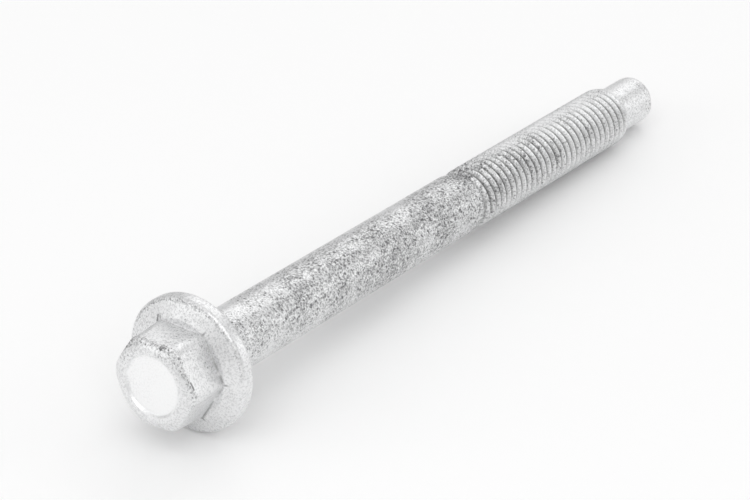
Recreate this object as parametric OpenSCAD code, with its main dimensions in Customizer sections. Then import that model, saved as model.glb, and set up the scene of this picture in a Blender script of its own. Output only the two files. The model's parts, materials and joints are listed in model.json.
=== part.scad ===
// Hexagon flange bolt, cold forged in one piece: a dished hexagon head on a broad flange,
// a plain shank, a coarse right-hand thread and a pilot point that guides it into its nut.
// The bolt lies on a flat surface at z = 0, on the rim of its flange and the end of its thread.
// It points towards +X, with a flat of the hexagon upwards and its box centred over the origin.

/* [Head] */
// Width across the flats of the hexagon
across_flats = 16; // [14:0.1:18]
// Amount by which each corner of the hexagon is rounded off at the chamfer
corner_cut = 0.5; // [0.2:0.05:0.8]
// Amount by which each corner is rounded off at its foot on the flange
foot_cut = 0.1; // [0.05:0.05:0.6]
// Height of the head, from the bearing face to its top
head_height = 12.2; // [9:0.1:15]
// Distance from the middle of a flat in to the chamfer's inner edge
chamfer_inset = 1.1; // [0.2:0.1:1.6]
// Slope of the chamfer, measured from the top of the head
chamfer_angle = 30.5; // [15:0.5:45]
// Width of the flat ring between the chamfer and the dish
ring_width = 1; // [0.4:0.1:2.5]
// Depth of the dish in the top of the head
dish_depth = 0.5; // [0.2:0.1:1.5]
// Slope of the dish's wall, measured from the bolt's axis
dish_angle = 40; // [0:5:60]

/* [Flange] */
// Diameter of the flange
flange_d = 25.3; // [22:0.1:30]
// Height of the flange's side, from the bearing face to where its cone would start
flange_edge = 2.6; // [2:0.1:3.6]
// Slope of the cone on top of the flange
flange_angle = 25; // [10:1:30]
// Rounding of the flange's two edges
flange_round = 0.8; // [0.3:0.1:1]

/* [Shank] */
// Diameter of the plain shank
shank_d = 12; // [11:0.1:13]
// Length of the plain shank, from the bearing face to its end
shank_length = 77.2; // [40:0.1:120]
// Fillet between the shank and the bearing face
underhead_fillet = 0.8; // [0.4:0.1:1.5]

/* [Thread] */
// Outer diameter of the thread
thread_d = 12; // [11.5:0.1:12.5]
// Pitch of the thread
pitch = 1.75; // [1.5:0.05:2]
// Depth of the neck below the thread's crest: the blank that the thread is rolled on
neck_depth = 0.55; // [0.4:0.05:0.7]
// Length of the straight neck between the shank and the thread
neck_length = 1.2; // [0.6:0.1:4]
// Length over which the thread rises out of the neck
run_out = 2; // [1:0.1:4]
// Length of the thread at its full diameter
thread_length = 47.2; // [20:0.1:80]
// Length of the tapered crest at the end of the thread
lead_length = 1.4; // [0.5:0.1:3]
// Height that the crest loses over that taper
lead_drop = 0.25; // [0.1:0.05:0.5]
// Length over which the crest then sinks into the core
crest_fade = 0.8; // [0.4:0.1:2]

/* [Pilot] */
// Diameter of the pilot point
pilot_d = 9.5; // [8:0.1:9.7]
// Length of the pilot point, from the foot of the thread's end to the tip
pilot_length = 10.2; // [6:0.1:16]
// Rounding of the tip
pilot_round = 1.3; // [0.4:0.1:2]

/* [Hidden] */

// Fineness of the round surfaces
$fn = 96;
// Overlap that makes stacked solids one
weld = 0.5;

hex_r = across_flats / 2 / cos(30);
corner_r = hex_r - corner_cut;
foot_corner_r = hex_r - foot_cut;
chamfer_r = across_flats / 2 - chamfer_inset;
dish_r = chamfer_r - ring_width;
flange_r = flange_d / 2;
shank_r = shank_d / 2;
thread_r = thread_d / 2;
neck_r = thread_r - neck_depth;
lead_r = thread_r - lead_drop;
pilot_r = pilot_d / 2;

// The thread's 60 degree profile: its depth, its flat crest and the foot sunk into the core
thread_depth = 17 / 24 * sqrt(3) / 2 * pitch;
root_r = thread_r - thread_depth;
crest_half = pitch / 16;
foot_r = root_r - pitch / 10;
flank_angle = 30;

// Places along the axis, from the bearing face towards the tip
neck_start = shank_length + abs(shank_r - neck_r);
thread_start = neck_start + neck_length;
core_start = thread_start + neck_r - root_r;
full_start = thread_start + run_out;
full_end = full_start + thread_length;
lead_end = full_end + lead_length;
crest_end = lead_end + crest_fade;
pilot_start = crest_end + pitch / 2;
core_end = pilot_start - abs(root_r - pilot_r);
tip = pilot_start + pilot_length;

// The helix has this many steps in a turn, and one of them is lowest at the end of the full thread
turn_steps = 24;
step = pitch / turn_steps;
first_step = ceil((thread_start - pitch / 2 - full_end) / step);
last_step = floor((crest_end - full_end) / step);

// How deep the ridge of the thread is buried at its two ends
bury = 0.1;

// Radius of the crest along the axis
crest_line = [
    [thread_start - pitch / 2, neck_r - bury],
    [full_start, thread_r],
    [full_end, thread_r],
    [lead_end, lead_r],
    [crest_end, root_r - bury]
];

// Height of the flat land on which the hexagon stands, where the flange's cone meets its corners
land_z = flange_edge + (flange_r - hex_r) * tan(flange_angle);

// Middle of the round at the flange's upper edge, which runs into the cone
upper_round_z = flange_edge - flange_round * tan((90 - flange_angle) / 2);

// Angle by which the tip end drops until a round of the profile meets the surface.
// The round's middle is at z along the axis and r from it.
function rest_angle(z, r, round) =
    let (along = z + flange_round, down = flange_r - flange_round - r)
    atan2(down, along) + asin((flange_round - round) / norm([along, down]));

// The bolt drops onto the end of its full thread, or onto its pilot if that is nearer
rest_tilt = min(
    rest_angle(full_end + crest_half, thread_r, 0),
    rest_angle(tip - pilot_round, pilot_r - pilot_round, pilot_round)
);

// Height of the axis at the bearing face, with the flange's rim on the surface
rest_height = flange_round + (flange_r - flange_round) * cos(rest_tilt) - flange_round * sin(rest_tilt);

// Ends of the lying bolt along X, from the bearing face
head_end_x = -head_height * cos(rest_tilt) - chamfer_r * sin(rest_tilt);
tip_end_x = pilot_round + (tip - pilot_round) * cos(rest_tilt) + (pilot_r - pilot_round) * sin(rest_tilt);

// Half section of the flange, with round edges and a land: x is the radius, y runs along the axis
module flange_section() {
    edge_mid = flange_r - flange_round;
    cone_r = edge_mid + flange_round * sin(flange_angle);
    cone_z = -upper_round_z - flange_round * cos(flange_angle);
    polygon([
        [0, 0],
        [edge_mid, 0],
        [edge_mid, -flange_round],
        [flange_r, -flange_round],
        [flange_r, -upper_round_z],
        [edge_mid, -upper_round_z],
        [cone_r, cone_z],
        [hex_r, -land_z],
        [0, -land_z]
    ]);
    for (z = [flange_round, upper_round_z])
        translate([edge_mid, -z]) circle(flange_round);
}

// Half section of the shank, the neck and the thread's core
module stem_section() {
    polygon([
        [0, -weld],
        [shank_r, -weld],
        [shank_r, shank_length],
        [neck_r, neck_start],
        [neck_r, thread_start],
        [root_r, core_start],
        [root_r, core_end],
        [pilot_r, pilot_start],
        [0, pilot_start]
    ]);
}

// Half section of the pilot point with its round tip
module pilot_section() {
    translate([0, pilot_start - weld])
        square([pilot_r, tip - pilot_round - pilot_start + weld]);
    translate([0, pilot_start])
        square([pilot_r - pilot_round, pilot_length]);
    intersection() {
        translate([pilot_r - pilot_round, tip - pilot_round]) circle(pilot_round);
        translate([0, pilot_start]) square([pilot_r, pilot_length]);
    }
}

// Concave fillet in the corner between the shank and the bearing face
module fillet_section() {
    translate([shank_r, 0])
        difference() {
            translate([-weld, -weld]) square(underhead_fillet + weld);
            translate([underhead_fillet, underhead_fillet]) circle(underhead_fillet);
        }
}

// Half the width of the thread's ridge at a radius
function ridge_half(r) = crest_half + (thread_r - r) * tan(flank_angle);

// Corners of the ridge at one step of the helix, as [radius, place along the axis]
function ridge_corners(z) =
    let (crest_r = lookup(z, crest_line))
    [
        [foot_r, z - ridge_half(foot_r)],
        [crest_r, z - ridge_half(crest_r)],
        [crest_r, z + ridge_half(crest_r)],
        [foot_r, z + ridge_half(foot_r)]
    ];

// Ridge of the thread, swept along a right-hand helix
module ridge() {
    steps = last_step - first_step;
    points = [
        for (i = [first_step:last_step], c = ridge_corners(full_end + i * step))
            let (turn = 360 * i / turn_steps)
            [c[0] * cos(turn), c[0] * sin(turn), c[1]]
    ];
    faces = [
        [3, 2, 1, 0],
        for (i = [0:steps - 1], k = [0:3])
            let (a = 4 * i + k, b = 4 * i + (k + 1) % 4)
            [a, b, b + 4, a + 4],
        [for (k = [0:3]) 4 * steps + k]
    ];
    polyhedron(points, faces, convexity = 10);
}

// Hexagon with a chamfered top, whose corners are sharp at the foot and rounder towards the top
module hexagon() {
    intersection() {
        translate([0, 0, -head_height])
            rotate(30) cylinder(r = hex_r, h = head_height - weld, $fn = 6);
        rotate_extrude()
            polygon([
                [0, 0],
                [foot_corner_r, 0],
                [foot_corner_r, -land_z],
                [corner_r, -head_height + (corner_r - chamfer_r) * tan(chamfer_angle)],
                [chamfer_r, -head_height],
                [0, -head_height]
            ]);
    }
}

// Shallow dish in the top of the head
module dish() {
    spread = weld * tan(dish_angle);
    foot_r = dish_r - dish_depth * tan(dish_angle);
    translate([0, 0, -head_height - weld])
        cylinder(r1 = dish_r + spread, r2 = foot_r, h = dish_depth + weld);
}

// The whole bolt on its own axis, with the bearing face at z = 0 and the tip upwards
module bolt_on_axis() {
    difference() {
        union() {
            rotate_extrude() {
                flange_section();
                stem_section();
                pilot_section();
                fillet_section();
            }
            hexagon();
            ridge();
        }
        dish();
    }
}

// The bolt, laid down as it comes to rest
module bolt() {
    color([0.82, 0.83, 0.84])
        translate([-(head_end_x + tip_end_x) / 2, 0, rest_height])
            rotate([0, 90 + rest_tilt, 0])
                bolt_on_axis();
}

bolt();
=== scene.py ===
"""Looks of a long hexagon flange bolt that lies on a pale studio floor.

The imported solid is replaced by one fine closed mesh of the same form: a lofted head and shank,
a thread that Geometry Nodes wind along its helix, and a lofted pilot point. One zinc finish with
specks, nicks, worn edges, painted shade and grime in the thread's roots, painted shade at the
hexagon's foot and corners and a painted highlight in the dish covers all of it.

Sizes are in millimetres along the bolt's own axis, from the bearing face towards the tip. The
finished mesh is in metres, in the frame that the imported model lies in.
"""

import json
import logging
import math
from dataclasses import dataclass, field
from enum import Enum
from typing import Any

import bmesh
import bpy
from mathutils import Matrix, Vector


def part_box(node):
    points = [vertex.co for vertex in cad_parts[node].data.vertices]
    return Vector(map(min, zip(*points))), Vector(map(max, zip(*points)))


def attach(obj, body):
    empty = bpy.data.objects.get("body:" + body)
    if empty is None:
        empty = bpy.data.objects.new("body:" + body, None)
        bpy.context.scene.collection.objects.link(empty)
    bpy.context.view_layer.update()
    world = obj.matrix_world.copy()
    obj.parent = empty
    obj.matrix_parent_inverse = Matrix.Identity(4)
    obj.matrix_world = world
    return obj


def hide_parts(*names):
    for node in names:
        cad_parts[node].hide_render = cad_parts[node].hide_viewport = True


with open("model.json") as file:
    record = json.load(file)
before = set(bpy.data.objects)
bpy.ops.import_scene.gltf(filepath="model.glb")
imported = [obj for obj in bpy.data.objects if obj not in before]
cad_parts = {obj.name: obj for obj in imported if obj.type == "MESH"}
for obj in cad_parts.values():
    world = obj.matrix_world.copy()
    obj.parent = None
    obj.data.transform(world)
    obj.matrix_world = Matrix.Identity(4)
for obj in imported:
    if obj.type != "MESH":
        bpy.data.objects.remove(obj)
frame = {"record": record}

LOG = logging.getLogger("flange_bolt")
MM = 0.001
SIXTH = math.pi / 3.0
# Largest share of a straight that the round at one of its ends takes
ROUND_SHARE = 0.48

# A point of a half section: radius from the axis and place along it
Point = tuple[float, float]
# A point on the bolt: place along the axis, sideways from it and up from it
Place = tuple[float, float, float]
# A direction across the axis: up and sideways
Way = tuple[float, float]
# Where a smooth step starts and where it is full
Span = tuple[float, float]
Colour = tuple[float, float, float, float]


class Value:
    """A number socket of a node tree, with the operators of ordinary maths."""

    def __init__(self, graph: "Graph", socket: bpy.types.NodeSocket) -> None:
        """Keeps the socket and the graph that its nodes go into."""
        self.graph = graph
        self.socket = socket

    def __add__(self, other: Any) -> "Value":
        """Sum of the two."""
        return self.graph.math("ADD", self, other)

    def __radd__(self, other: Any) -> "Value":
        """Sum of the two."""
        return self.graph.math("ADD", other, self)

    def __sub__(self, other: Any) -> "Value":
        """Difference of the two."""
        return self.graph.math("SUBTRACT", self, other)

    def __rsub__(self, other: Any) -> "Value":
        """Difference of the two, the other way round."""
        return self.graph.math("SUBTRACT", other, self)

    def __mul__(self, other: Any) -> "Value":
        """Product of the two."""
        return self.graph.math("MULTIPLY", self, other)

    def __rmul__(self, other: Any) -> "Value":
        """Product of the two."""
        return self.graph.math("MULTIPLY", other, self)

    def __truediv__(self, other: Any) -> "Value":
        """Quotient of the two."""
        return self.graph.math("DIVIDE", self, other)

    def __abs__(self) -> "Value":
        """Amount without its sign."""
        return self.graph.math("ABSOLUTE", self)

    def root(self) -> "Value":
        """Square root."""
        return self.graph.math("SQRT", self)

    def least(self, other: Any) -> "Value":
        """The smaller of the two."""
        return self.graph.math("MINIMUM", self, other)

    def most(self, other: Any) -> "Value":
        """The larger of the two."""
        return self.graph.math("MAXIMUM", self, other)

    def rise(self, low: Any, high: Any) -> "Value":
        """Smooth step of this value.

        Args:
            low: value at which the step is 0.
            high: value at which the step is 1; it may be below low.

        Returns:
            The step, from 0 to 1.
        """
        return self.graph.value(
            "ShaderNodeMapRange",
            {"interpolation_type": "SMOOTHSTEP"},
            {"Value": self, "From Min": low, "From Max": high},
        )

    def step(self, span: Span, base: float = 0.0) -> "Value":
        """Smooth step over a span that is measured from a base."""
        return self.rise(base + span[0], base + span[1])

    def band(self, middle: float, half: float) -> "Value":
        """Smooth bump of this value: 1 at the middle and 0 from half a width away."""
        return abs(self - middle).rise(half, 0.0)


class Graph:
    """Adds nodes to a shader tree or a Geometry Nodes tree."""

    # Numbers of the Mix node's sockets for colours, which share their names with others
    MIX_SHARE = 0
    MIX_FIRST = 6
    MIX_SECOND = 7
    MIX_RESULT = 2

    def __init__(self, tree: bpy.types.NodeTree) -> None:
        """Starts with the tree's nodes removed."""
        self.tree = tree
        tree.nodes.clear()

    def node(
        self,
        kind: str,
        settings: dict[str, Any] | None = None,
        sockets: dict[str | int, Any] | None = None,
    ) -> bpy.types.Node:
        """Adds one node.

        Args:
            kind: Blender's name of the node type.
            settings: properties of the node, which are set first.
            sockets: plain values or links of its inputs, by name or number.

        Returns:
            The new node.
        """
        made = self.tree.nodes.new(kind)
        for name, setting in (settings or {}).items():
            setattr(made, name, setting)
        for name, given in (sockets or {}).items():
            source = given.socket if isinstance(given, Value) else given
            if isinstance(source, bpy.types.NodeSocket):
                self.tree.links.new(source, made.inputs[name])
            else:
                made.inputs[name].default_value = source
        return made

    def value(
        self,
        kind: str,
        settings: dict[str, Any] | None = None,
        sockets: dict[str | int, Any] | None = None,
        output: str | int = 0,
    ) -> Value:
        """Adds one node and wraps one of its outputs.

        Args:
            kind: Blender's name of the node type.
            settings: properties of the node.
            sockets: plain values or links of its inputs.
            output: name or number of the output.

        Returns:
            The output as a value for further maths.
        """
        return Value(self, self.node(kind, settings, sockets).outputs[output])

    def math(self, operation: str, *terms: Any) -> Value:
        """Adds a Math node.

        Args:
            operation: the node's operation.
            terms: its inputs, in order.

        Returns:
            The result.
        """
        return self.value("ShaderNodeMath", {"operation": operation}, dict(enumerate(terms)))

    def parts(self, vector: bpy.types.NodeSocket) -> tuple[Value, Value, Value]:
        """Splits a vector.

        Args:
            vector: a vector socket.

        Returns:
            Its three numbers.
        """
        split = self.node("ShaderNodeSeparateXYZ", None, {0: vector})
        return tuple(Value(self, output) for output in split.outputs)

    def vector(self, operation: str, sockets: dict[str | int, Any]) -> bpy.types.Node:
        """Adds a Vector Math node.

        Args:
            operation: the node's operation.
            sockets: plain values or links of its inputs.

        Returns:
            The new node.
        """
        return self.node("ShaderNodeVectorMath", {"operation": operation}, sockets)

    def mix_colours(self, share: Value, first: Any, second: Any) -> bpy.types.NodeSocket:
        """Mixes two colours.

        Args:
            share: how much of the second colour there is, from 0 to 1.
            first: colour at 0.
            second: colour at 1.

        Returns:
            The mixed colour's socket.
        """
        sockets = {self.MIX_SHARE: share, self.MIX_FIRST: first, self.MIX_SECOND: second}
        mixed = self.node("ShaderNodeMix", {"data_type": "RGBA"}, sockets)
        return mixed.outputs[self.MIX_RESULT]


@dataclass(frozen=True)
class Placement:
    """Where the bolt's own axis lies in the shared frame, in metres."""

    bearing_middle: Vector
    axis: Vector

    @classmethod
    def from_mounts(cls, mounts: list[dict[str, Any]]) -> "Placement":
        """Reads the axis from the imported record.

        Args:
            mounts: the record's mounts, among them the shank and the bearing face.

        Returns:
            The placement.
        """
        named = {mount["name"]: mount for mount in mounts}
        axis = Vector(named["shank"]["axis"]).normalized()
        shank_middle = Vector(named["shank"]["pos_m"])
        to_face = (Vector(named["bearing_face"]["pos_m"]) - shank_middle).dot(axis)
        return cls(shank_middle + axis * to_face, axis)

    @property
    def tilt(self) -> float:
        """Angle by which the axis dips towards the tip."""
        return math.atan2(-self.axis.z, self.axis.x)

    def from_own_frame(self) -> Matrix:
        """Matrix from the bolt's own frame, in millimetres with z along the axis and x down.

        Returns:
            The matrix to the shared frame, in metres.
        """
        down = Vector((self.axis.z, 0.0, -self.axis.x))
        turn = Matrix((down, self.axis.cross(down), self.axis)).transposed()
        return Matrix.Translation(self.bearing_middle) @ turn.to_4x4() @ Matrix.Scale(MM, 4)

    def mapping_sockets(self) -> dict[str, Any]:
        """Mapping node's values for millimetres with x along the axis, y sideways and z up.

        Returns:
            The node's location, rotation and scale.
        """
        turn = Matrix.Rotation(-self.tilt, 3, "Y")
        return {
            "Location": -(turn @ self.bearing_middle) / MM,
            "Rotation": (0.0, -self.tilt, 0.0),
            "Scale": (1.0 / MM, 1.0 / MM, 1.0 / MM),
        }


@dataclass(frozen=True)
class Corner:
    """A corner of a half section, with the round that runs through it."""

    radius: float
    along: float
    round: float = 0.0
    steps: int = 1
    rows_before: int = 1


def rounded_section(corners: list[Corner]) -> list[Point]:
    """Turns corners into the points of a half section.

    Args:
        corners: the corners in order; the first and the last have no round.

    Returns:
        Points along the straights and rounds, as many for any corners of the same make.
    """
    places = [Vector((corner.radius, corner.along)) for corner in corners]
    points: list[Vector] = []
    for i, corner in enumerate(corners):
        arc = [places[i]]
        if corner.round > 0.0:
            arc = corner_arc(places[i - 1], places[i], places[i + 1], corner)
        for row in range(1, corner.rows_before):
            points.append(points[-row].lerp(arc[0], row / corner.rows_before))
        points.extend(arc)
    return [(point.x, point.y) for point in points]


def corner_arc(before: Vector, middle: Vector, after: Vector, corner: Corner) -> list[Vector]:
    """Points of the arc that rounds a corner.

    Args:
        before: point before the corner.
        middle: the corner's own point.
        after: point after the corner.
        corner: the corner with its round, which the two sides limit.

    Returns:
        The arc's points from its start to its end.
    """
    room = ROUND_SHARE * min((before - middle).length, (after - middle).length)
    back = (before - middle).normalized()
    ahead = (after - middle).normalized()
    half = math.acos(max(-1.0, min(1.0, back.dot(ahead)))) / 2.0
    reach = min(room, corner.round / math.tan(half))
    centre = middle + (back + ahead).normalized() * (reach / math.cos(half))
    start = middle + back * reach - centre
    end = middle + ahead * reach - centre
    turn = start.angle_signed(end)
    steps = corner.steps
    return [centre + Matrix.Rotation(-turn * i / steps, 2) @ start for i in range(steps + 1)]


def smooth_least(first: float, second: float, width: float) -> float:
    """The smaller of two numbers, with a smooth change over from one to the other.

    Args:
        first: one number.
        second: the other number.
        width: difference below which they blend.

    Returns:
        The blended number.
    """
    near = max(width - abs(first - second), 0.0) / width
    return min(first, second) - near**3 * width / 6.0


@dataclass(frozen=True)
class Head:
    """The dished hexagon on its flange."""

    flange_r: float
    across_flats: float = 16.0
    corner_cut: float = 0.5
    foot_cut: float = 0.1
    cut_blend: float = 0.12
    height: float = 12.2
    chamfer_inset: float = 1.1
    chamfer_angle: float = math.radians(30.5)
    ring_width: float = 1.0
    dish_depth: float = 0.5
    dish_angle: float = math.radians(40.0)
    flange_edge: float = 2.6
    flange_angle: float = math.radians(25.0)
    flange_round: float = 0.8
    dish_foot_round: float = 0.35
    dish_edge_round: float = 0.25
    chamfer_top_round: float = 0.6
    chamfer_end_round: float = 0.45
    foot_round: float = 0.3
    land_round: float = 0.5
    corner_spread: float = math.radians(8.0)

    @property
    def flat(self) -> float:
        """Distance of a flat from the axis."""
        return self.across_flats / 2.0

    @property
    def sharp_corner_r(self) -> float:
        """Radius of the hexagon's corners if they were sharp."""
        return self.flat / math.cos(SIXTH / 2.0)

    @property
    def chamfer_r(self) -> float:
        """Radius at which the chamfer starts on top of the head."""
        return self.flat - self.chamfer_inset

    @property
    def dish_r(self) -> float:
        """Radius of the dish at the top of the head."""
        return self.chamfer_r - self.ring_width

    @property
    def land(self) -> float:
        """Place of the flat land that the hexagon stands on."""
        slope = math.tan(self.flange_angle)
        return -self.flange_edge - (self.flange_r - self.sharp_corner_r) * slope

    def hexagon_radius(self, angle: float, cut: float) -> float:
        """Radius of the hexagon.

        Args:
            angle: angle about the axis; a flat faces angle 0.
            cut: amount by which the corners are rounded off.

        Returns:
            The radius at that angle.
        """
        off_flat = abs((angle + SIXTH / 2.0) % SIXTH - SIXTH / 2.0)
        sharp = self.flat / math.cos(off_flat)
        return smooth_least(sharp, self.sharp_corner_r - cut, self.cut_blend)

    def column_angles(self, columns: int) -> list[float]:
        """Angles of the mesh's columns on the head, which crowd at the corners.

        Args:
            columns: number of columns all round, a multiple of 24.

        Returns:
            One angle for each column.
        """
        per_sixth = columns // 6
        half_flat = per_sixth // 4
        flat_end = SIXTH / 2.0 - self.corner_spread
        angles = []
        for column in range(columns):
            turn, step = divmod(column, per_sixth)
            if step <= half_flat:
                angle = flat_end * step / half_flat
            elif step <= per_sixth - half_flat:
                share = (step - half_flat) / (per_sixth - 2 * half_flat)
                angle = flat_end + 2.0 * self.corner_spread * share
            else:
                angle = SIXTH - flat_end * (per_sixth - step) / half_flat
            angles.append(turn * SIXTH + angle)
        return angles

    def corners(self, angle: float) -> list[Corner]:
        """Corners of the half section at an angle, from the middle of the dish to the bearing face.

        Args:
            angle: angle about the axis.

        Returns:
            The corners.
        """
        top = -self.height
        floor = top + self.dish_depth
        dish_foot = self.dish_r - self.dish_depth * math.tan(self.dish_angle)
        upper_r = self.hexagon_radius(angle, self.corner_cut)
        foot_r = self.hexagon_radius(angle, self.foot_cut)
        chamfer_end = top + (upper_r - self.chamfer_r) * math.tan(self.chamfer_angle)
        return [
            Corner(0.0, floor),
            Corner(dish_foot, floor, self.dish_foot_round, steps=4, rows_before=6),
            Corner(self.dish_r, top, self.dish_edge_round, steps=4),
            Corner(self.chamfer_r, top, self.chamfer_top_round, steps=4, rows_before=2),
            Corner(upper_r, chamfer_end, self.chamfer_end_round, steps=6, rows_before=3),
            Corner(foot_r, self.land, self.foot_round, steps=5, rows_before=8),
            Corner(self.sharp_corner_r, self.land, self.land_round, steps=3, rows_before=2),
            Corner(self.flange_r, -self.flange_edge, self.flange_round, steps=8, rows_before=6),
            Corner(self.flange_r, 0.0, self.flange_round, steps=8),
        ]


@dataclass(frozen=True)
class Shank:
    """The plain shank under the head."""

    radius: float = 6.0
    length: float = 77.2
    fillet: float = 0.8
    end_round: float = 0.3

    def corners(self) -> list[Corner]:
        """Corners of its half section.

        Returns:
            The corners from the bearing face to the shank's end.
        """
        return [
            Corner(self.radius, 0.0, self.fillet, steps=8, rows_before=6),
            Corner(self.radius, self.length, self.end_round, steps=3, rows_before=26),
        ]


@dataclass(frozen=True)
class Thread:
    """The rolled thread with its neck, its run-out and its lead into the pilot."""

    shank_end: float
    pilot_r: float
    radius: float = 6.0
    pitch: float = 1.75
    depth_share: float = 17.0 / 24.0
    neck_depth: float = 0.55
    neck_length: float = 1.2
    neck_round: float = 0.3
    run_out: float = 2.0
    full_length: float = 47.2
    lead_length: float = 1.4
    crest_fade: float = 0.8
    rows: int = 16

    @property
    def neck_r(self) -> float:
        """Radius of the neck, which is the blank that the thread is rolled on."""
        return self.radius - self.neck_depth

    @property
    def root_r(self) -> float:
        """Radius of the thread's root, by the metric profile."""
        return self.radius - self.depth_share * math.sqrt(0.75) * self.pitch

    @property
    def neck_start(self) -> float:
        """Place where the neck starts."""
        return self.shank_end + self.neck_depth

    @property
    def full_start(self) -> float:
        """Place where the thread reaches its full height."""
        return self.neck_start + self.neck_length + self.run_out

    @property
    def full_end(self) -> float:
        """Place where the thread's full height ends."""
        return self.full_start + self.full_length

    @property
    def pilot_start(self) -> float:
        """Place where the pilot starts."""
        return self.full_end + self.lead_length + self.crest_fade + self.pitch / 2.0

    @property
    def low_ring(self) -> float:
        """Place of the ring on the neck where the wound mesh starts."""
        return self.neck_start + self.neck_round

    @property
    def high_ring(self) -> float:
        """Place of the ring on the pilot where the wound mesh ends."""
        return self.pilot_start + self.neck_round

    def neck_corners(self) -> list[Corner]:
        """Corners of the neck's half section.

        Returns:
            The corners from the shank's end to the ring where the wound mesh starts.
        """
        return [
            Corner(self.neck_r, self.neck_start, self.neck_round, steps=3, rows_before=2),
            Corner(self.neck_r, self.low_ring),
        ]

    def tree_sizes(self, columns: int, finish: bpy.types.Material) -> dict[str, Any]:
        """Values for the tree that winds the thread.

        Args:
            columns: number of the mesh's columns in a turn.
            finish: the thread's material.

        Returns:
            A value for each of the tree's inputs.
        """
        half_turn = columns // 2
        first = math.floor((self.low_ring - self.full_end) / self.pitch * columns) - half_turn
        last = math.ceil((self.high_ring - self.full_end) / self.pitch * columns) + half_turn
        return {
            "Columns": last - first + 1,
            "Rows": self.rows + 1,
            "First turn": first / columns,
            "Turns": (last - first) / columns,
            "Pitch": self.pitch,
            "Zero place": self.full_end,
            "Low ring": self.low_ring,
            "High ring": self.high_ring,
            "Crest radius": self.radius,
            "Root radius": self.root_r,
            "Neck radius": self.neck_r,
            "Pilot radius": self.pilot_r,
            "Run-out start": self.neck_start + self.neck_length / 2.0,
            "Run-out end": self.full_start + self.neck_round,
            "Lead start": self.full_end + self.neck_round,
            "Lead end": self.high_ring,
            "Cone foot": self.pilot_start,
            "Finish": finish,
        }


@dataclass(frozen=True)
class Pilot:
    """The plain point that guides the bolt into its nut."""

    radius: float = 4.75
    length: float = 10.2
    tip_round: float = 1.3

    def section(self, start: float, tip: float) -> list[Point]:
        """Half section from the wound mesh to the middle of the tip.

        Args:
            start: place where it starts.
            tip: place of the bolt's end.

        Returns:
            The section's points.
        """
        return rounded_section([
            Corner(self.radius, start),
            Corner(self.radius, tip, self.tip_round, steps=10, rows_before=6),
            Corner(0.0, tip, rows_before=5),
        ])


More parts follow.
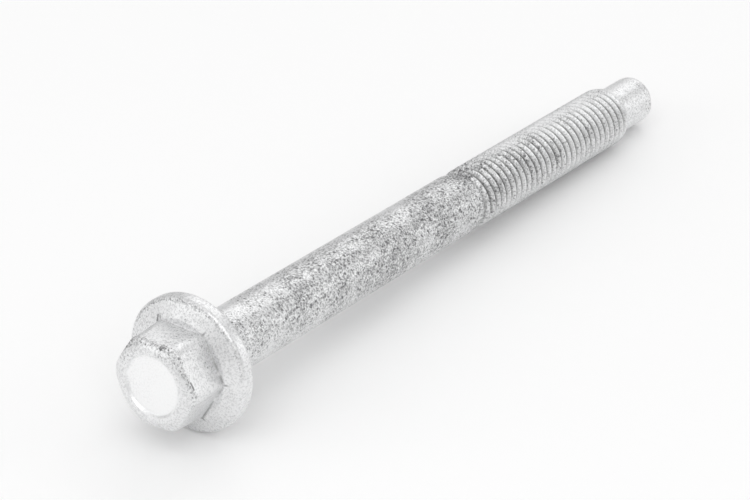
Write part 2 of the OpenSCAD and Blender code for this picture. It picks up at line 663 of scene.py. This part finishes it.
class ThreadTree:
    """Geometry Nodes tree that winds the thread's surface along its helix."""

    NAME = "rolled_thread"
    COUNTS = ("Columns", "Rows")
    LENGTHS = (
        "First turn", "Turns", "Pitch", "Zero place", "Low ring", "High ring", "Crest radius",
        "Root radius", "Neck radius", "Pilot radius", "Run-out start", "Run-out end",
        "Lead start", "Lead end", "Cone foot",
    )
    CREST_SHARE = 1.0 / 16.0
    FLANK_SLOPE = math.sqrt(3.0)
    CREST_BLEND = 0.12
    ROOT_BLEND = 0.25
    MERGE = 0.004

    def __init__(self) -> None:
        """Builds the tree with its named inputs."""
        self.tree = bpy.data.node_groups.new(self.NAME, "GeometryNodeTree")
        self.graph = Graph(self.tree)
        self.identifiers: dict[str, str] = {}
        self.tree.interface.new_socket("Geometry", in_out="OUTPUT", socket_type="NodeSocketGeometry")
        for name in self.COUNTS:
            self.add_input(name, "NodeSocketInt")
        for name in self.LENGTHS:
            self.add_input(name, "NodeSocketFloat")
        self.add_input("Finish", "NodeSocketMaterial")
        self.given = self.graph.node("NodeGroupInput")
        self.wind()

    def add_input(self, name: str, kind: str) -> None:
        """Adds a named input and notes its identifier."""
        item = self.tree.interface.new_socket(name, in_out="INPUT", socket_type=kind)
        self.identifiers[name] = item.identifier

    def get(self, name: str) -> Value:
        """A named input as a value."""
        return Value(self.graph, self.given.outputs[name])

    def wind(self) -> None:
        """Builds the nodes: a flat strip becomes the thread's surface, wound along the helix."""
        graph = self.graph
        turns = self.get("Turns")
        sockets = {
            "Size X": turns,
            "Size Y": 1.0,
            "Vertices X": self.get("Columns"),
            "Vertices Y": self.get("Rows"),
        }
        strip = graph.node("GeometryNodeMeshGrid", None, sockets).outputs["Mesh"]
        place = graph.node("GeometryNodeInputPosition").outputs["Position"]
        down_strip, across, _ = graph.parts(place)
        turn = down_strip + turns * 0.5 + self.get("First turn")
        along = self.get("Zero place") + (turn + across) * self.get("Pitch")
        along = along.most(self.get("Low ring")).least(self.get("High ring"))
        radius = self.radius(along, across)
        angle = turn * math.tau
        sockets = {
            "X": radius * graph.math("COSINE", angle),
            "Y": radius * graph.math("SINE", angle),
            "Z": along,
        }
        wound = graph.node("ShaderNodeCombineXYZ", None, sockets).outputs["Vector"]
        sockets = {"Geometry": strip, "Position": wound}
        surface = graph.node("GeometryNodeSetPosition", None, sockets).outputs[0]
        sockets = {"Geometry": surface, "Distance": self.MERGE}
        surface = graph.node("GeometryNodeMergeByDistance", None, sockets).outputs[0]
        surface = graph.node("GeometryNodeRealizeInstances", None, {0: surface}).outputs[0]
        sockets = {"Geometry": surface, "Material": self.given.outputs["Finish"]}
        surface = graph.node("GeometryNodeSetMaterial", None, sockets).outputs[0]
        graph.node("NodeGroupOutput", None, {0: surface})

    def radius(self, along: Value, across: Value) -> Value:
        """Radius of the thread's surface.

        Args:
            along: place along the bolt's axis.
            across: place across the thread in pitches, from -0.5 in one root to 0.5 in the next.

        Returns:
            The radius, which runs into the neck and the pilot at the thread's two ends.
        """
        crest = self.get("Crest radius")
        off_crest = (self.CREST_SHARE - abs(across)) * self.get("Pitch")
        flank = crest + off_crest * self.FLANK_SLOPE
        profile = self.graph.math("SMOOTH_MIN", flank, crest, self.CREST_BLEND)
        profile = self.graph.math("SMOOTH_MAX", profile, self.get("Root radius"), self.ROOT_BLEND)
        cone = self.get("Pilot radius") + (self.get("Cone foot") - along).most(0.0)
        blank = cone.least(self.get("Neck radius"))
        depth = along.rise(self.get("Run-out start"), self.get("Run-out end"))
        depth = depth * along.rise(self.get("Lead end"), self.get("Lead start"))
        return blank + (profile - blank) * depth

    def mesh(self, sizes: dict[str, Any]) -> bpy.types.Mesh:
        """Runs the tree once.

        Args:
            sizes: a value for each named input.

        Returns:
            The thread's surface as a plain mesh, in millimetres.
        """
        carrier = bpy.data.objects.new("thread_carrier", bpy.data.meshes.new("thread_carrier"))
        bpy.context.scene.collection.objects.link(carrier)
        modifier = carrier.modifiers.new(self.NAME, "NODES")
        modifier.node_group = self.tree
        for name, size in sizes.items():
            modifier[self.identifiers[name]] = size
        depsgraph = bpy.context.evaluated_depsgraph_get()
        made = bpy.data.meshes.new_from_object(carrier.evaluated_get(depsgraph))
        bpy.data.objects.remove(carrier)
        return made


@dataclass
class FlangeBolt:
    """The whole bolt: its forms, its one mesh and its finish."""

    placement: Placement
    head: Head
    shank: Shank
    thread: Thread
    pilot: Pilot
    columns: int = 144
    face_slack: float = 0.001
    name: str = "bolt_body"
    mesh: bmesh.types.BMesh = field(init=False)

    @property
    def tip(self) -> float:
        """Place of the bolt's end."""
        return self.thread.pilot_start + self.pilot.length

    def even_angle(self, column: int) -> float:
        """Angle of a column where the columns are spread evenly."""
        return math.tau * column / self.columns

    def add_loft(self, sections: list[list[Point]], angles: list[list[float]], pole: int) -> None:
        """Adds a turned surface that a pole closes at one end.

        Args:
            sections: the half section of each column.
            angles: the angle of each point of each column.
            pole: number of the sections' point on the axis, the first or the last (-1).
        """
        rows = []
        for row in range(len(sections[0])):
            ring = []
            for section, turned in zip(sections, angles):
                radius, along = section[row]
                place = (radius * math.cos(turned[row]), radius * math.sin(turned[row]), along)
                ring.append(place)
            rows.append(ring)
        middle = self.mesh.verts.new((0.0, 0.0, rows.pop(pole)[0][2]))
        rings = [[self.mesh.verts.new(place) for place in ring] for ring in rows]
        for column in range(self.columns):
            ahead = (column + 1) % self.columns
            self.mesh.faces.new((middle, rings[pole][column], rings[pole][ahead]))
            for lower, upper in zip(rings, rings[1:]):
                self.mesh.faces.new((lower[column], lower[ahead], upper[ahead], upper[column]))

    def add_head(self) -> None:
        """Adds the head, the shank and the start of the neck.

        The columns crowd at the hexagon's corners and spread out evenly over the bearing face,
        which takes in all points that are hardly above it.
        """
        head_angles = self.head.column_angles(self.columns)
        stem = self.shank.corners() + self.thread.neck_corners()
        sections = [rounded_section(self.head.corners(angle) + stem) for angle in head_angles]
        outer = self.head.flange_r - self.head.flange_round
        inner = self.shank.radius + self.shank.fillet
        angles = []
        for column, section in enumerate(sections):
            turned = []
            for radius, along in section:
                share = max(0.0, min(1.0, (outer - radius) / (outer - inner)))
                share = share if along > -self.face_slack else 0.0
                turned.append(head_angles[column] * (1.0 - share) + self.even_angle(column) * share)
            angles.append(turned)
        self.add_loft(sections, angles, pole=0)

    def add_pilot(self) -> None:
        """Adds the pilot point."""
        section = self.pilot.section(self.thread.high_ring, self.tip)
        angles = [[self.even_angle(column)] * len(section) for column in range(self.columns)]
        self.add_loft([section] * self.columns, angles, pole=-1)

    def build(self, finish: bpy.types.Material) -> bpy.types.Object:
        """Builds the bolt as one closed mesh.

        Args:
            finish: its material.

        Returns:
            The bolt's object, at the origin with its place in its mesh.
        """
        self.mesh = bmesh.new()
        thread_mesh = ThreadTree().mesh(self.thread.tree_sizes(self.columns, finish))
        self.mesh.from_mesh(thread_mesh)
        bpy.data.meshes.remove(thread_mesh)
        self.add_head()
        self.add_pilot()
        bmesh.ops.remove_doubles(self.mesh, verts=self.mesh.verts, dist=ThreadTree.MERGE)
        bmesh.ops.recalc_face_normals(self.mesh, faces=self.mesh.faces)
        for face in self.mesh.faces:
            face.smooth = True
        self.mesh.transform(self.placement.from_own_frame())
        triangles = sum(len(face.verts) - 2 for face in self.mesh.faces)
        loose = sum(1 for edge in self.mesh.edges if len(edge.link_faces) != 2)
        LOG.info("%s: %d triangles, %d edges not between two faces", self.name, triangles, loose)
        made = bpy.data.meshes.new(self.name)
        self.mesh.to_mesh(made)
        self.mesh.free()
        made.materials.append(finish)
        piece = bpy.data.objects.new(self.name, made)
        bpy.context.scene.collection.objects.link(piece)
        return piece


@dataclass(frozen=True)
class CoatSpace:
    """Where a point of the coat is on the bolt, as values of the material's graph."""

    graph: Graph
    place: bpy.types.NodeSocket
    along: Value
    side: Value
    up: Value
    radius: Value
    least_radius: float = 0.1
    noise_roughness: float = 0.6
    border_scale: float = 1.8
    border_reach: float = 0.7

    @classmethod
    def of(cls, graph: Graph, placement: Placement) -> "CoatSpace":
        """Turns Object coordinates into places on the bolt.

        Args:
            graph: the material's graph.
            placement: where the bolt's axis lies.

        Returns:
            The space, in millimetres.
        """
        seen = graph.node("ShaderNodeTexCoord").outputs["Object"]
        sockets = {"Vector": seen, **placement.mapping_sockets()}
        place = graph.node("ShaderNodeMapping", None, sockets).outputs["Vector"]
        along, side, up = graph.parts(place)
        return cls(graph, place, along, side, up, (side * side + up * up).root())

    def noise(self, scale: float, detail: float = 2.0) -> Value:
        """Noise over the surface; noises of different scales differ all over.

        Args:
            scale: features per millimetre.
            detail: number of finer layers.

        Returns:
            The noise, around 0.5.
        """
        sockets = {"Vector": self.place, "Scale": scale, "Detail": detail}
        sockets["Roughness"] = self.noise_roughness
        return self.graph.value("ShaderNodeTexNoise", None, sockets)

    def swing(self, scale: float, detail: float = 2.0) -> Value:
        """Noise over the surface that swings around 0."""
        return self.noise(scale, detail) - 0.5

    def cells(self, scale: float) -> tuple[Value, Value, Value]:
        """Points that are scattered over the bolt, one to a cell with a crooked border.

        Args:
            scale: cells per millimetre.

        Returns:
            The distance from the nearest point, in cells, and two random numbers of its cell.
        """
        sockets = {"Vector": self.place, "Scale": scale * self.border_scale, "Detail": 1.0}
        crooked = self.graph.node("ShaderNodeTexNoise", None, sockets).outputs["Color"]
        reach = self.border_reach / scale
        sockets = {0: crooked, 1: (reach, reach, reach), 2: self.place}
        place = self.graph.vector("MULTIPLY_ADD", sockets).outputs["Vector"]
        cell = self.graph.node("ShaderNodeTexVoronoi", None, {"Vector": place, "Scale": scale})
        first, second, _ = self.graph.parts(cell.outputs["Color"])
        return Value(self.graph, cell.outputs["Distance"]), first, second

    def off_line(self, start: Place, end: Place) -> Value:
        """Distance from a short straight line.

        Args:
            start: where the line starts.
            end: where it ends.

        Returns:
            The distance in millimetres.
        """
        run = Vector(end) - Vector(start)
        seen = self.graph.vector("SUBTRACT", {0: self.place, 1: start}).outputs["Vector"]
        ahead = self.graph.vector("DOT_PRODUCT", {0: seen, 1: run}).outputs["Value"]
        share = (Value(self.graph, ahead) / run.length_squared).most(0.0).least(1.0)
        nearest = self.graph.vector("SCALE", {0: run, "Scale": share}).outputs["Vector"]
        off = self.graph.vector("DISTANCE", {0: seen, 1: nearest}).outputs["Value"]
        return Value(self.graph, off)

    def towards(self, up: float, side: float) -> Value:
        """How far the surface lies towards a direction across the axis, from -1 to 1."""
        return (self.up * up + self.side * side) / self.radius.most(self.least_radius)

    def off_corner_angle(self) -> Value:
        """Angle from the nearest corner of the hexagon."""
        angle = self.graph.math("ARCTAN2", self.side, self.up)
        return abs(self.graph.math("FRACT", angle / SIXTH) - 0.5) * SIXTH

    def off_flat(self) -> Value:
        """Distance from the axis along the normal of the nearest flat of the hexagon."""
        return self.radius * self.graph.math("COSINE", SIXTH / 2.0 - self.off_corner_angle())


@dataclass(frozen=True)
class SpeckLayer:
    """One layer of dark specks: noise that is cut off at a level."""

    scale: float
    detail: float
    rare_level: float
    dense_level: float
    edge: float
    strength: float
    rare_share: float = 0.05

    def share(self, space: CoatSpace, density: Value) -> Value:
        """Share of this layer's speck.

        Args:
            space: places on the bolt.
            density: how dense the specks are, from 0 to 1.

        Returns:
            The share, from 0 to the layer's strength, and fainter where specks are rare.
        """
        level = self.rare_level - density * (self.rare_level - self.dense_level)
        found = space.noise(self.scale, self.detail).rise(level, level + self.edge)
        return found * (self.rare_share + density * (1.0 - self.rare_share)) * self.strength


@dataclass(frozen=True)
class DotLayer:
    """One layer of dark dots, at most one to a cell; their sizes are in cells."""

    scale: float
    size: float
    rare_density: float
    full_density: float
    strength: float
    fade: float = 0.3
    least_girth: float = 0.5
    core: float = 0.2
    ragged_scale: float = 3.0
    ragged_detail: float = 4.0
    raggedness: float = 1.3

    def share(self, space: CoatSpace, density: Value) -> Value:
        """Share of this layer's dots.

        Args:
            space: places on the bolt.
            density: how dense the specks are, from 0 to 1.

        Returns:
            The share, from 0 to the layer's strength.
        """
        distance, rank, girth = space.cells(self.scale)
        shown = (density.rise(self.rare_density, self.full_density) - rank).rise(0.0, self.fade)
        radius = self.size * (self.least_girth + girth * (1.0 - self.least_girth))
        ragged = space.swing(self.scale * self.ragged_scale, self.ragged_detail)
        off_dot = distance + ragged * self.size * self.raggedness
        return off_dot.rise(radius, radius * self.core) * shown * self.strength


class Specks(Enum):
    """The layers of specks, from soft clouds to single dark spots."""

    CLOUD = SpeckLayer(
        scale=0.7, detail=6.0, rare_level=0.56, dense_level=0.28, edge=0.36, strength=0.26
    )
    GRAIN = SpeckLayer(
        scale=2.9, detail=5.0, rare_level=0.44, dense_level=0.41, edge=0.22, strength=0.74
    )
    DOT = DotLayer(scale=2.4, size=0.70, rare_density=0.18, full_density=1.00, strength=0.84)
    SPOT = DotLayer(scale=1.4, size=0.66, rare_density=0.34, full_density=1.10, strength=0.92)


@dataclass(frozen=True)
class Nick:
    """A short dark nick in the coat."""

    start: Place
    end: Place
    half_width: float
    strength: float
    core: float = 0.3
    ragged_scale: float = 3.7
    ragged_detail: float = 3.0

    def share(self, space: CoatSpace) -> Value:
        """Share of the nick's dark colour, which has a ragged edge.

        Args:
            space: places on the bolt.

        Returns:
            The share, from 0 to the nick's strength.
        """
        ragged = space.swing(self.ragged_scale, self.ragged_detail) * self.half_width
        off_nick = space.off_line(self.start, self.end) + ragged
        return off_nick.rise(self.half_width, self.half_width * self.core) * self.strength


class Nicks(Enum):
    """The nicks of the head: one on the flange's cone and two on the chamfer's edge."""

    CONE = Nick((-3.9, 5.4, 8.4), (-4.2, 5.3, 7.5), half_width=0.34, strength=0.75)
    EDGE_MIDDLE = Nick((-11.6, -1.7, 7.7), (-11.4, -2.1, 7.9), half_width=0.34, strength=0.6)
    EDGE_END = Nick((-10.95, -7.6, 2.8), (-10.85, -8.2, 1.8), half_width=0.26, strength=0.7)


@dataclass(frozen=True)
class HeadMarks:
    """Marks of the head's coat as shares from 0 to 1: painted highlight, lines of specks, painted
    shade.
    """

    head: Head
    dish_depths: Span = (1.2, 0.6)
    dish_edge: Span = (0.5, -1.0)
    dish_wander: float = 1.6
    dish_wander_scale: float = 0.45
    rim_inset: float = 0.5
    rim_half: float = 0.4
    rim_places: Span = (-1.6, -2.4)
    chamfer_drop: float = 0.15
    chamfer_half: float = 0.75
    chamfer_edge: Span = (-0.7, -0.2)
    crease_out: float = 0.3
    crease_half: float = 0.75
    crease_width: float = 0.32
    crease_land: Span = (-0.4, 0.0)
    crease_end: Span = (-1.0, -2.0)
    crease_strength: float = 0.6
    crevice_out: float = 0.12
    crevice_up: float = 0.05
    crevice_half: float = 0.34
    crevice_gaps: Span = (0.25, 0.6)
    crevice_gap_scale: float = 0.7
    crevice_strength: float = 0.55
    crevice_top: Span = (0.4, 1.0)
    crevice_top_loss: float = 0.35

    def dish(self, space: CoatSpace) -> Value:
        """The cleaner field in the dish on top of the head, painted near white as a painted
        highlight.

        Args:
            space: places on the bolt.

        Returns:
            Its share.
        """
        on_top = space.along.step(self.dish_depths, -self.head.height)
        uneven = space.radius + space.swing(self.dish_wander_scale) * self.dish_wander
        return on_top * uneven.step(self.dish_edge, self.head.dish_r)

    def rim_line(self, space: CoatSpace) -> Value:
        """The line of denser specks where the flange's cone meets the round of its rim."""
        near_rim = space.radius.band(self.head.flange_r - self.rim_inset, self.rim_half)
        return near_rim * space.along.step(self.rim_places)

    def chamfer_line(self, space: CoatSpace) -> Value:
        """The line of denser specks along the edge between the chamfer and the flats.

        Args:
            space: places on the bolt.

        Returns:
            Its share.
        """
        slope = math.tan(self.head.chamfer_angle)
        over_chamfer = space.along + self.head.height - (space.radius - self.head.chamfer_r) * slope
        near_chamfer = over_chamfer.band(self.chamfer_drop, self.chamfer_half)
        return near_chamfer * space.radius.step(self.chamfer_edge, self.head.flat)

    def corner_foot_shade(self, space: CoatSpace) -> Value:
        """Painted shade: short dark marks on the flange at the feet of the hexagon's corners.

        Args:
            space: places on the bolt.

        Returns:
            Their share.
        """
        near_foot = space.radius.band(self.head.sharp_corner_r + self.crease_out, self.crease_half)
        on_flange = space.along.step(self.crease_land, self.head.land)
        on_flange = on_flange * space.along.step(self.crease_end)
        off_corner = space.off_corner_angle() * space.radius
        return off_corner.rise(self.crease_width, 0.0) * near_foot * on_flange * self.crease_strength

    def painted_foot_shade(self, space: CoatSpace) -> Value:
        """Painted shade: a thin dark line where the hexagon stands on the flange's land.

        Args:
            space: places on the bolt.

        Returns:
            Its share, which is least on top of the head.
        """
        near_flat = space.off_flat().band(self.head.flat + self.crevice_out, self.crevice_half)
        at_land = space.along.band(self.head.land - self.crevice_up, self.crevice_half)
        broken = space.noise(self.crevice_gap_scale).step(self.crevice_gaps)
        on_top = space.towards(1.0, 0.0).step(self.crevice_top)
        shaded = self.crevice_strength - on_top * self.crevice_top_loss
        return near_flat * at_land * broken * shaded


@dataclass(frozen=True)
class SpeckDensity:
    """How dense the specks are: most in the middle of the shank, least in the dish."""

    marks: HeadMarks
    thread: Thread
    front_way: Way = (0.69, -0.72)
    front_span: Span = (0.2, 0.95)
    upper_span: Span = (-0.2, 0.9)
    top_way: Way = (0.92, 0.40)
    top_span: Span = (0.45, 1.0)
    shank_start: float = 0.52
    shank_gain: float = 0.27
    shank_places: Span = (8.0, 38.0)
    back_share: float = 0.72
    front_gain: float = 0.38
    thread_loss: float = 0.27
    tip_loss: float = 0.22
    tip_places: Span = (76.0, 125.0)
    run_out_gain: float = 0.36
    run_out_half: float = 10.0
    head_start: float = 0.32
    upper_gain: float = 0.12
    rim_gain: float = 0.1
    rim_upper_gain: float = 0.22
    chamfer_gain: float = 0.25
    dish_loss: float = 0.85
    head_places: Span = (0.3, -0.3)
    pilot_places: Span = (-1.0, 0.2)
    cloud_scale: float = 0.13
    cloud_detail: float = 3.0
    cloud_swing: float = 1.1
    head_calm: float = 0.6
    pilot_calm: float = 0.7

    def on_stem(self, space: CoatSpace, front: Value) -> Value:
        """Density on the shank and the thread.

        Args:
            space: places on the bolt.
            front: how far the surface lies on the upper front.

        Returns:
            The density, with more on top of the thread's start.
        """
        along = space.along
        top = space.towards(*self.top_way).step(self.top_span)
        on_thread = along.rise(self.thread.neck_start, self.thread.full_start)
        dense = self.shank_start + along.step(self.shank_places) * self.shank_gain
        dense = dense * (self.back_share + front * self.front_gain)
        loss = self.thread_loss + along.step(self.tip_places) * self.tip_loss
        dense = dense * (1.0 - on_thread * loss)
        return dense + along.band(self.thread.full_start, self.run_out_half) * top * self.run_out_gain

    def on_head(self, space: CoatSpace, front: Value) -> Value:
        """Density on the head.

        Args:
            space: places on the bolt.
            front: how far the surface lies on the upper front.

        Returns:
            The density, with more along the rim and the chamfer and little in the dish.
        """
        upper = space.towards(1.0, 0.0).step(self.upper_span)
        dense = self.head_start + upper * self.upper_gain
        dense = dense + self.marks.rim_line(space) * (self.rim_gain + upper * self.rim_upper_gain)
        dense = dense + self.marks.chamfer_line(space) * upper.most(front) * self.chamfer_gain
        # Specks thin out in the dish under its painted highlight
        return dense * (1.0 - self.marks.dish(space) * self.dish_loss)

    def value(self, space: CoatSpace) -> Value:
        """Density over the whole bolt.

        Args:
            space: places on the bolt.

        Returns:
            The density, about 0 to 1, which swings in soft clouds.
        """
        front = space.towards(*self.front_way).step(self.front_span)
        stem = self.on_stem(space, front)
        head_part = space.along.step(self.head_places)
        pilot_part = space.along.step(self.pilot_places, self.thread.pilot_start)
        cloud = space.swing(self.cloud_scale, self.cloud_detail)
        cloud = cloud * (1.0 - pilot_part * self.pilot_calm)
        cloud = cloud * (self.cloud_swing - head_part * self.head_calm)
        return (stem + (self.on_head(space, front) - stem) * head_part + cloud).most(0.0)


@dataclass(frozen=True)
class ZincCoat:
    """Satin silver-grey zinc coat: dark specks, worn edges, painted shade and grime in the thread, a
    painted highlight in the dish.
    """

    placement: Placement
    marks: HeadMarks
    thread: Thread
    pale: Colour = (0.870, 0.873, 0.877, 1.0)
    # Colour of the specks and nicks; it also paints shade at the hexagon's foot and corners
    speck: Colour = (0.110, 0.110, 0.114, 1.0)
    # Colour of the painted shade in the thread's roots, with grime
    root_shade_dirt_colour: Colour = (0.120, 0.118, 0.115, 1.0)
    # Colour of worn spots and of the painted highlight in the dish
    bright: Colour = (0.960, 0.962, 0.964, 1.0)
    metallic: float = 0.92
    speck_metal_loss: float = 0.35
    roughness: float = 0.40
    speck_roughness: float = 0.2
    root_shade_roughness: float = 0.25
    wear_and_highlight_gloss: float = 0.08
    grain_scale: float = 7.0
    grain_detail: float = 3.0
    grain_roughness: float = 0.15
    grain_height: float = 0.35
    forged_scale: float = 0.5
    forged_roughness: float = 0.1
    forged_height: float = 1.5
    speck_depth: float = 0.8
    bump_strength: float = 0.6
    bump_distance: float = 0.02
    groove_start: float = 0.5
    groove_end: float = -0.6
    groove_edge: float = -0.36
    groove_floor: float = 0.14
    root_shade_base: float = 0.46
    groove_patch: float = 0.6
    groove_patch_scale: float = 0.4
    crest_edge: Span = (-0.1, 0.0)
    crest_start: Span = (-1.0, 0.0)
    crest_wear: float = 0.5
    corner_radii: Span = (8.5, 8.7)
    corner_places: Span = (-0.3, -1.0)
    corner_wear: float = 0.15

    def material(self, name: str) -> bpy.types.Material:
        """Builds the finish as a material.

        Args:
            name: the material's name.

        Returns:
            The material.
        """
        made = bpy.data.materials.new(name)
        made.use_nodes = True
        graph = Graph(made.node_tree)
        space = CoatSpace.of(graph, self.placement)
        specks = self.specks(space)
        root_shade_and_dirt = self.root_shade_and_dirt(space)
        wear_and_highlight = self.wear_and_highlight(space)
        # Painted highlight and wear, then specks and painted shade, then painted shade with grime in
        # the thread
        colour = graph.mix_colours(wear_and_highlight, self.pale, self.bright)
        colour = graph.mix_colours(specks, colour, self.speck)
        colour = graph.mix_colours(root_shade_and_dirt, colour, self.root_shade_dirt_colour)

        grain = space.swing(self.grain_scale, self.grain_detail)
        forged = space.swing(self.forged_scale)
        roughness = self.roughness + specks * self.speck_roughness + root_shade_and_dirt * self.root_shade_roughness
        roughness = roughness - wear_and_highlight * self.wear_and_highlight_gloss
        roughness = roughness + grain * self.grain_roughness + forged * self.forged_roughness
        height = grain * self.grain_height + forged * self.forged_height - specks * self.speck_depth
        sockets = {"Strength": self.bump_strength, "Height": height}
        sockets["Distance"] = self.bump_distance * MM
        bump = graph.node("ShaderNodeBump", None, sockets)
        sockets = {
            "Base Color": colour,
            "Metallic": self.metallic - specks * self.speck_metal_loss,
            "Roughness": roughness,
            "Normal": bump.outputs["Normal"],
        }
        shader = graph.node("ShaderNodeBsdfPrincipled", None, sockets)
        graph.node("ShaderNodeOutputMaterial", None, {"Surface": shader.outputs["BSDF"]})
        return made

    def specks(self, space: CoatSpace) -> Value:
        """Share of dark speck over the whole bolt, with painted shade at the hexagon's foot and
        corners.

        Args:
            space: places on the bolt.

        Returns:
            The share, from 0 to 1.
        """
        density = SpeckDensity(self.marks, self.thread).value(space)
        # Painted shade at the feet of the hexagon's corners and along its foot, mixed in like specks
        clear = 1.0 - self.marks.corner_foot_shade(space)
        clear = clear * (1.0 - self.marks.painted_foot_shade(space))
        for layer in Specks:
            clear = clear * (1.0 - layer.value.share(space, density))
        for nick in Nicks:
            clear = clear * (1.0 - nick.value.share(space))
        return 1.0 - clear

    def root_shade_and_dirt(self, space: CoatSpace) -> Value:
        """Share of painted shade and grime in the thread's roots, whose strength swings in patches.

        Args:
            space: places on the bolt.

        Returns:
            The share, most in the thread's root and 0 elsewhere.
        """
        thread = self.thread
        threaded = space.along.rise(thread.neck_start + self.groove_start, thread.full_start)
        threaded = threaded * space.along.rise(thread.pilot_start + self.groove_end, thread.full_end)
        # Painted shade: darker towards the thread's root
        deep = space.radius.rise(thread.radius + self.groove_edge, thread.root_r + self.groove_floor)
        patchy = self.root_shade_base + space.noise(self.groove_patch_scale) * self.groove_patch
        return threaded * deep * patchy

    def wear_and_highlight(self, space: CoatSpace) -> Value:
        """Share of brighter coat: painted highlight in the dish, wear on thread crests and hex
        corners.

        Args:
            space: places on the bolt.

        Returns:
            The share, from 0 to 1.
        """
        crest = space.radius.step(self.crest_edge, self.thread.radius)
        crest = crest * space.along.step(self.crest_start, self.thread.full_start)
        corner = space.radius.step(self.corner_radii)
        corner = corner * space.along.step(self.corner_places, self.marks.head.land)
        dish = self.marks.dish(space)
        return dish.most(crest * self.crest_wear).most(corner * self.corner_wear)


@dataclass(frozen=True)
class Softbox:
    """A rectangular studio lamp, in metres and watts."""

    name: str
    place: tuple[float, float, float]
    width: float
    height: float
    power: float

    def hang(self, target: Vector) -> None:
        """Adds the lamp.

        Args:
            target: the point that it faces.
        """
        lamp = bpy.data.lights.new(self.name, "AREA")
        lamp.shape = "RECTANGLE"
        lamp.size = self.width
        lamp.size_y = self.height
        lamp.energy = self.power
        holder = bpy.data.objects.new(self.name, lamp)
        holder.location = self.place
        holder.rotation_euler = (target - Vector(self.place)).to_track_quat("-Z", "Y").to_euler()
        holder.visible_camera = False
        bpy.context.scene.collection.objects.link(holder)


@dataclass(frozen=True)
class Studio:
    """Floor, lamps, surroundings and camera; its aim is an offset from the bearing face."""

    placement: Placement
    aim_offset: Vector = Vector((0.052108, 0.000381, -0.002469))
    azimuth: float = math.radians(-53.708)
    elevation: float = math.radians(29.590)
    distance: float = 0.563037
    lens: float = 147.07
    near_limit: float = 0.01
    floor_half: float = 6.0
    floor_white: float = 0.98
    horizon: float = 0.42
    zenith: float = 0.72
    zenith_height: float = 0.6
    softboxes: tuple[Softbox, ...] = (
        Softbox("key_softbox", (-0.75, -0.45, 1.10), width=1.5, height=1.5, power=6.4),
        Softbox("top_softbox", (1.05, 0.34, 0.95), width=1.2, height=0.9, power=2.7),
        Softbox("front_card", (0.95, -0.90, 0.35), width=1.0, height=0.6, power=1.7),
        Softbox("left_card", (-0.85, 0.55, 0.35), width=0.8, height=0.6, power=1.15),
    )

    @property
    def aim(self) -> Vector:
        """Point that the camera looks at."""
        return self.placement.bearing_middle + self.aim_offset

    def add_camera(self) -> None:
        """Adds the camera where the photo was taken from."""
        back = Vector((
            math.sin(self.azimuth) * math.cos(self.elevation),
            -math.cos(self.azimuth) * math.cos(self.elevation),
            math.sin(self.elevation),
        ))
        camera = bpy.data.cameras.new("photo_camera")
        camera.lens = self.lens
        camera.clip_start = self.near_limit
        holder = bpy.data.objects.new("photo_camera", camera)
        holder.location = self.aim + back * self.distance
        holder.rotation_euler = back.to_track_quat("Z", "Y").to_euler()
        bpy.context.scene.collection.objects.link(holder)
        bpy.context.scene.camera = holder

    def add_floor(self) -> None:
        """Adds the pale floor that the bolt lies on."""
        half = self.floor_half
        corners = [(-half, -half, 0.0), (half, -half, 0.0), (half, half, 0.0), (-half, half, 0.0)]
        mesh = bpy.data.meshes.new("studio_floor")
        mesh.from_pydata(corners, [], [(0, 1, 2, 3)])
        finish = bpy.data.materials.new("floor_white")
        finish.use_nodes = True
        graph = Graph(finish.node_tree)
        white = (self.floor_white, self.floor_white, self.floor_white, 1.0)
        shader = graph.node("ShaderNodeBsdfDiffuse", None, {"Color": white})
        graph.node("ShaderNodeOutputMaterial", None, {"Surface": shader.outputs[0]})
        mesh.materials.append(finish)
        floor = bpy.data.objects.new("studio_floor", mesh)
        bpy.context.scene.collection.objects.link(floor)

    def add_sky(self) -> None:
        """Adds the surroundings, which are darker towards the horizon."""
        world = bpy.data.worlds.new("studio_sky")
        world.use_nodes = True
        graph = Graph(world.node_tree)
        direction = graph.node("ShaderNodeTexCoord").outputs["Generated"]
        height = graph.parts(direction)[2]
        share = height.rise(0.0, self.zenith_height)
        strength = self.horizon + share * (self.zenith - self.horizon)
        sockets = {"Color": (1.0, 1.0, 1.0, 1.0), "Strength": strength}
        shader = graph.node("ShaderNodeBackground", None, sockets)
        graph.node("ShaderNodeOutputWorld", None, {"Surface": shader.outputs[0]})
        bpy.context.scene.world = world

    def build(self) -> None:
        """Builds the studio and sets the plain view."""
        self.add_camera()
        self.add_floor()
        self.add_sky()
        for softbox in self.softboxes:
            softbox.hang(self.aim)
        bpy.context.scene.view_settings.view_transform = "Standard"


def main() -> None:
    """Builds the studio and the bolt."""
    logging.basicConfig(level=logging.INFO, format="%(name)s: %(message)s")
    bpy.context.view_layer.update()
    low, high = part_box("bolt")
    placement = Placement.from_mounts(frame["record"]["mounts"])
    Studio(placement).build()

    head = Head(flange_r=(high.y - low.y) / 2.0 / MM)
    shank = Shank()
    pilot = Pilot()
    thread = Thread(shank_end=shank.length, pilot_r=pilot.radius)
    finish = ZincCoat(placement, HeadMarks(head), thread).material("zinc_coat")
    piece = FlangeBolt(placement, head, shank, thread, pilot).build(finish)
    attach(piece, "root")
    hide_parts("bolt")
    LOG.info("%s rides on root and stands for the packed bolt", piece.name)


if __name__ == "__main__":
    main()
